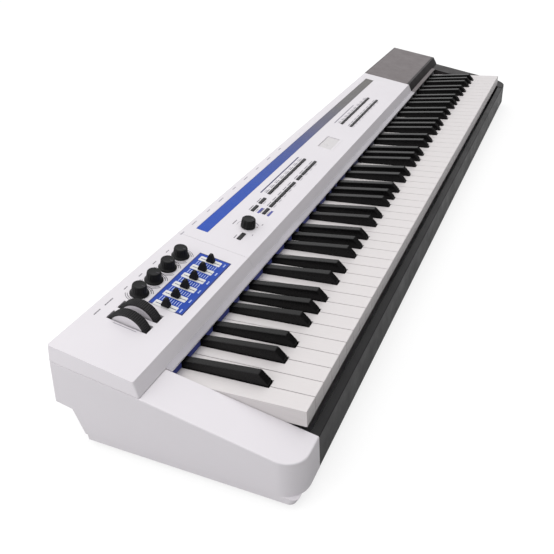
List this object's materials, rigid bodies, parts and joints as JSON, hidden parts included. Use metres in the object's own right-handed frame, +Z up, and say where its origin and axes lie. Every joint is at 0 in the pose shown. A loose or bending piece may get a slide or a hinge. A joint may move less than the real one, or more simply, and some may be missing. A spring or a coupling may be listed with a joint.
{
  "type": "digital piano",
  "caption": "Slim digital stage piano: full-length hinged keyboard, sloping control panel with bend wheels, knobs, sliders and button rows, white case with a dark right end.",
  "frame": {"origin": "under the middle of the whole object, on the plane that its rubber feet stand on", "axes": "+X along the keyboard towards the treble end, +Y towards the rear connectors, +Z up"},
  "size_m": [1.322, 0.287, 0.1346],
  "materials": {
    "case_white": "fine satin moulded plastic, slightly lilac white",
    "case_dark": "dark brown-grey satin plastic",
    "cap_dark": "dark brown-grey satin plastic",
    "slip_black": "black satin plastic",
    "felt_blue": "blue wool felt",
    "stripe_blue": "fine ribbed strip, blue fading to grey towards the treble end",
    "plate_blue": "blue satin plastic with pale printed lines",
    "display_window": "clear window over a switched-off display",
    "plate_black": "black moulded connector plate",
    "chassis_steel": "plain bent sheet steel",
    "circuit_board": "green circuit board",
    "display_module": "display module",
    "foot_rubber": "matte black rubber",
    "control_black": "black soft-touch plastic with fine ribs",
    "slider_black": "black plastic cap with a tall pyramid head",
    "button_black": "black moulded buttons",
    "key_ivory": "ivory-feel key tops with a fine grain",
    "key_ebony": "ebony-feel key tops with a fine grain"
  },
  "bodies": {
    "case": {"bottom_case": "case_white", "top_case": "case_white", "left_end_block": "case_white", "right_end_block": "case_dark", "right_top_cap": "cap_dark", "key_slip": "slip_black", "key_felt": "felt_blue", "accent_strip": "stripe_blue", "slider_plate": "plate_blue", "display_window": "display_window", "rear_jack_plate": "plate_black", "foot_1": "foot_rubber", "foot_2": "foot_rubber", "foot_3": "foot_rubber", "foot_4": "foot_rubber", "key_chassis": "chassis_steel", "key_contact_board": "circuit_board", "main_board": "circuit_board", "display_module": "display_module", "wheel_bracket": "chassis_steel"},
    "pitch_bend_wheel": {"pitch_bend_wheel": "control_black"},
    "modulation_wheel": {"modulation_wheel": "control_black"},
    "control_knob_1": {"control_knob_1": "control_black"},
    "control_knob_2": {"control_knob_2": "control_black"},
    "control_knob_3": {"control_knob_3": "control_black"},
    "control_knob_4": {"control_knob_4": "control_black"},
    "volume_knob": {"volume_knob": "control_black"},
    "slider_1": {"slider_1": "slider_black"},
    "slider_2": {"slider_2": "slider_black"},
    "slider_3": {"slider_3": "slider_black"},
    "slider_4": {"slider_4": "slider_black"},
    "slider_5": {"slider_5": "slider_black"},
    "slider_6": {"slider_6": "slider_black"},
    "power_button": {"power_button": "button_black"},
    "mode_buttons": {"mode_buttons": "button_black"},
    "left_buttons_upper": {"left_buttons_upper": "button_black"},
    "left_buttons_lower": {"left_buttons_lower": "button_black"},
    "right_buttons_upper": {"right_buttons_upper": "button_black"},
    "right_buttons_lower": {"right_buttons_lower": "button_black"},
    "naturals_cegb_1": {"naturals_cegb_1": "key_ivory"},
    "naturals_dfa_1": {"naturals_dfa_1": "key_ivory"},
    "sharps_1": {"sharps_1": "key_ebony"},
    "naturals_cegb_2": {"naturals_cegb_2": "key_ivory"},
    "naturals_dfa_2": {"naturals_dfa_2": "key_ivory"},
    "sharps_2": {"sharps_2": "key_ebony"},
    "naturals_cegb_3": {"naturals_cegb_3": "key_ivory"},
    "naturals_dfa_3": {"naturals_dfa_3": "key_ivory"},
    "sharps_3": {"sharps_3": "key_ebony"},
    "naturals_cegb_4": {"naturals_cegb_4": "key_ivory"},
    "naturals_dfa_4": {"naturals_dfa_4": "key_ivory"},
    "sharps_4": {"sharps_4": "key_ebony"},
    "naturals_cegb_5": {"naturals_cegb_5": "key_ivory"},
    "naturals_dfa_5": {"naturals_dfa_5": "key_ivory"},
    "sharps_5": {"sharps_5": "key_ebony"},
    "naturals_cegb_6": {"naturals_cegb_6": "key_ivory"},
    "naturals_dfa_6": {"naturals_dfa_6": "key_ivory"},
    "sharps_6": {"sharps_6": "key_ebony"},
    "naturals_cegb_7": {"naturals_cegb_7": "key_ivory"},
    "naturals_dfa_7": {"naturals_dfa_7": "key_ivory"},
    "sharps_7": {"sharps_7": "key_ebony"}
  },
  "joints": [
    {"name": "pitch_bend", "type": "hinge", "parent": "case", "child": "pitch_bend_wheel", "pos_m": [-0.5825, 0.0893, 0.10465], "axis": [-1, 0, 0], "range_deg": [-30, 30], "stiffness_Nm_per_rad": 0.02},
    {"name": "modulation", "type": "hinge", "parent": "case", "child": "modulation_wheel", "pos_m": [-0.5618, 0.0893, 0.10465], "axis": [-1, 0, 0], "range_deg": [0, 60]},
    {"name": "naturals_cegb_4_press", "type": "hinge", "parent": "case", "child": "naturals_cegb_4", "pos_m": [0, 0.1005, 0.063], "axis": [1, 0, 0], "range_deg": [0, 2.4], "stiffness_Nm_per_rad": 1.92, "springref_deg": -20.05},
    {"name": "naturals_dfa_4_press", "type": "hinge", "parent": "case", "child": "naturals_dfa_4", "pos_m": [0, 0.1005, 0.063], "axis": [1, 0, 0], "range_deg": [0, 2.4], "stiffness_Nm_per_rad": 1.44, "springref_deg": -20.05},
    {"name": "sharps_4_press", "type": "hinge", "parent": "case", "child": "sharps_4", "pos_m": [0, 0.1005, 0.063], "axis": [1, 0, 0], "range_deg": [0, 2.4], "stiffness_Nm_per_rad": 2.4, "springref_deg": -20.05},
    {"name": "volume_turn", "type": "hinge", "parent": "case", "child": "volume_knob", "pos_m": [-0.3315, 0.0671, 0.11255], "axis": [0, -0.1917, 0.9815], "range_deg": [-150, 150]},
    {"name": "control_knob_1_turn", "type": "hinge", "parent": "case", "child": "control_knob_1", "pos_m": [-0.5349, 0.106, 0.12014], "axis": [0, -0.1917, 0.9815], "range_deg": [-150, 150]},
    {"name": "control_knob_2_turn", "type": "hinge", "parent": "case", "child": "control_knob_2", "pos_m": [-0.5046, 0.106, 0.12014], "axis": [0, -0.1917, 0.9815], "range_deg": [-150, 150]},
    {"name": "control_knob_3_turn", "type": "hinge", "parent": "case", "child": "control_knob_3", "pos_m": [-0.4743, 0.106, 0.12014], "axis": [0, -0.1917, 0.9815], "range_deg": [-150, 150]},
    {"name": "control_knob_4_turn", "type": "hinge", "parent": "case", "child": "control_knob_4", "pos_m": [-0.444, 0.106, 0.12014], "axis": [0, -0.1917, 0.9815], "range_deg": [-150, 150]},
    {"name": "slider_1_slide", "type": "slide", "parent": "case", "child": "slider_1", "axis": [0, 0.9815, 0.1917], "range_m": [-0.012, 0.012]},
    {"name": "slider_2_slide", "type": "slide", "parent": "case", "child": "slider_2", "axis": [0, 0.9815, 0.1917], "range_m": [-0.012, 0.012]},
    {"name": "slider_3_slide", "type": "slide", "parent": "case", "child": "slider_3", "axis": [0, 0.9815, 0.1917], "range_m": [-0.012, 0.012]},
    {"name": "slider_4_slide", "type": "slide", "parent": "case", "child": "slider_4", "axis": [0, 0.9815, 0.1917], "range_m": [-0.012, 0.012]},
    {"name": "slider_5_slide", "type": "slide", "parent": "case", "child": "slider_5", "axis": [0, 0.9815, 0.1917], "range_m": [-0.012, 0.012]},
    {"name": "slider_6_slide", "type": "slide", "parent": "case", "child": "slider_6", "axis": [0, 0.9815, 0.1917], "range_m": [-0.012, 0.012]},
    {"name": "power_button_press", "type": "slide", "parent": "case", "child": "power_button", "axis": [0, 0.1917, -0.9815], "range_m": [0, 0.0008], "stiffness_N_per_m": 400, "springref_m": -0.001},
    {"name": "mode_buttons_press", "type": "slide", "parent": "case", "child": "mode_buttons", "axis": [0, 0.1917, -0.9815], "range_m": [0, 0.0008], "stiffness_N_per_m": 400, "springref_m": -0.001},
    {"name": "left_buttons_upper_press", "type": "slide", "parent": "case", "child": "left_buttons_upper", "axis": [0, 0.1917, -0.9815], "range_m": [0, 0.0008], "stiffness_N_per_m": 400, "springref_m": -0.001},
    {"name": "left_buttons_lower_press", "type": "slide", "parent": "case", "child": "left_buttons_lower", "axis": [0, 0.1917, -0.9815], "range_m": [0, 0.0008], "stiffness_N_per_m": 400, "springref_m": -0.001},
    {"name": "right_buttons_upper_press", "type": "slide", "parent": "case", "child": "right_buttons_upper", "axis": [0, 0.1917, -0.9815], "range_m": [0, 0.0008], "stiffness_N_per_m": 400, "springref_m": -0.001},
    {"name": "right_buttons_lower_press", "type": "slide", "parent": "case", "child": "right_buttons_lower", "axis": [0, 0.1917, -0.9815], "range_m": [0, 0.0008], "stiffness_N_per_m": 400, "springref_m": -0.001},
    {"name": "naturals_cegb_1_press", "type": "hinge", "parent": "case", "child": "naturals_cegb_1", "pos_m": [0, 0.1005, 0.063], "axis": [1, 0, 0], "range_deg": [0, 2.4], "stiffness_Nm_per_rad": 2.4, "springref_deg": -20.05},
    {"name": "naturals_dfa_1_press", "type": "hinge", "parent": "case", "child": "naturals_dfa_1", "pos_m": [0, 0.1005, 0.063], "axis": [1, 0, 0], "range_deg": [0, 2.4], "stiffness_Nm_per_rad": 1.92, "springref_deg": -20.05},
    {"name": "sharps_1_press", "type": "hinge", "parent": "case", "child": "sharps_1", "pos_m": [0, 0.1005, 0.063], "axis": [1, 0, 0], "range_deg": [0, 2.4], "stiffness_Nm_per_rad": 2.88, "springref_deg": -20.05},
    {"name": "naturals_cegb_2_press", "type": "hinge", "parent": "case", "child": "naturals_cegb_2", "pos_m": [0, 0.1005, 0.063], "axis": [1, 0, 0], "range_deg": [0, 2.4], "stiffness_Nm_per_rad": 1.92, "springref_deg": -20.05},
    {"name": "naturals_dfa_2_press", "type": "hinge", "parent": "case", "child": "naturals_dfa_2", "pos_m": [0, 0.1005, 0.063], "axis": [1, 0, 0], "range_deg": [0, 2.4], "stiffness_Nm_per_rad": 1.44, "springref_deg": -20.05},
    {"name": "sharps_2_press", "type": "hinge", "parent": "case", "child": "sharps_2", "pos_m": [0, 0.1005, 0.063], "axis": [1, 0, 0], "range_deg": [0, 2.4], "stiffness_Nm_per_rad": 2.4, "springref_deg": -20.05},
    {"name": "naturals_cegb_3_press", "type": "hinge", "parent": "case", "child": "naturals_cegb_3", "pos_m": [0, 0.1005, 0.063], "axis": [1, 0, 0], "range_deg": [0, 2.4], "stiffness_Nm_per_rad": 1.92, "springref_deg": -20.05},
    {"name": "naturals_dfa_3_press", "type": "hinge", "parent": "case", "child": "naturals_dfa_3", "pos_m": [0, 0.1005, 0.063], "axis": [1, 0, 0], "range_deg": [0, 2.4], "stiffness_Nm_per_rad": 1.44, "springref_deg": -20.05},
    {"name": "sharps_3_press", "type": "hinge", "parent": "case", "child": "sharps_3", "pos_m": [0, 0.1005, 0.063], "axis": [1, 0, 0], "range_deg": [0, 2.4], "stiffness_Nm_per_rad": 2.4, "springref_deg": -20.05},
    {"name": "naturals_cegb_5_press", "type": "hinge", "parent": "case", "child": "naturals_cegb_5", "pos_m": [0, 0.1005, 0.063], "axis": [1, 0, 0], "range_deg": [0, 2.4], "stiffness_Nm_per_rad": 1.92, "springref_deg": -20.05},
    {"name": "naturals_dfa_5_press", "type": "hinge", "parent": "case", "child": "naturals_dfa_5", "pos_m": [0, 0.1005, 0.063], "axis": [1, 0, 0], "range_deg": [0, 2.4], "stiffness_Nm_per_rad": 1.44, "springref_deg": -20.05},
    {"name": "sharps_5_press", "type": "hinge", "parent": "case", "child": "sharps_5", "pos_m": [0, 0.1005, 0.063], "axis": [1, 0, 0], "range_deg": [0, 2.4], "stiffness_Nm_per_rad": 2.4, "springref_deg": -20.05},
    {"name": "naturals_cegb_6_press", "type": "hinge", "parent": "case", "child": "naturals_cegb_6", "pos_m": [0, 0.1005, 0.063], "axis": [1, 0, 0], "range_deg": [0, 2.4], "stiffness_Nm_per_rad": 1.92, "springref_deg": -20.05},
    {"name": "naturals_dfa_6_press", "type": "hinge", "parent": "case", "child": "naturals_dfa_6", "pos_m": [0, 0.1005, 0.063], "axis": [1, 0, 0], "range_deg": [0, 2.4], "stiffness_Nm_per_rad": 1.44, "springref_deg": -20.05},
    {"name": "sharps_6_press", "type": "hinge", "parent": "case", "child": "sharps_6", "pos_m": [0, 0.1005, 0.063], "axis": [1, 0, 0], "range_deg": [0, 2.4], "stiffness_Nm_per_rad": 2.4, "springref_deg": -20.05},
    {"name": "naturals_cegb_7_press", "type": "hinge", "parent": "case", "child": "naturals_cegb_7", "pos_m": [0, 0.1005, 0.063], "axis": [1, 0, 0], "range_deg": [0, 2.4], "stiffness_Nm_per_rad": 2.4, "springref_deg": -20.05},
    {"name": "naturals_dfa_7_press", "type": "hinge", "parent": "case", "child": "naturals_dfa_7", "pos_m": [0, 0.1005, 0.063], "axis": [1, 0, 0], "range_deg": [0, 2.4], "stiffness_Nm_per_rad": 1.44, "springref_deg": -20.05},
    {"name": "sharps_7_press", "type": "hinge", "parent": "case", "child": "sharps_7", "pos_m": [0, 0.1005, 0.063], "axis": [1, 0, 0], "range_deg": [0, 2.4], "stiffness_Nm_per_rad": 2.4, "springref_deg": -20.05}
  ]
}
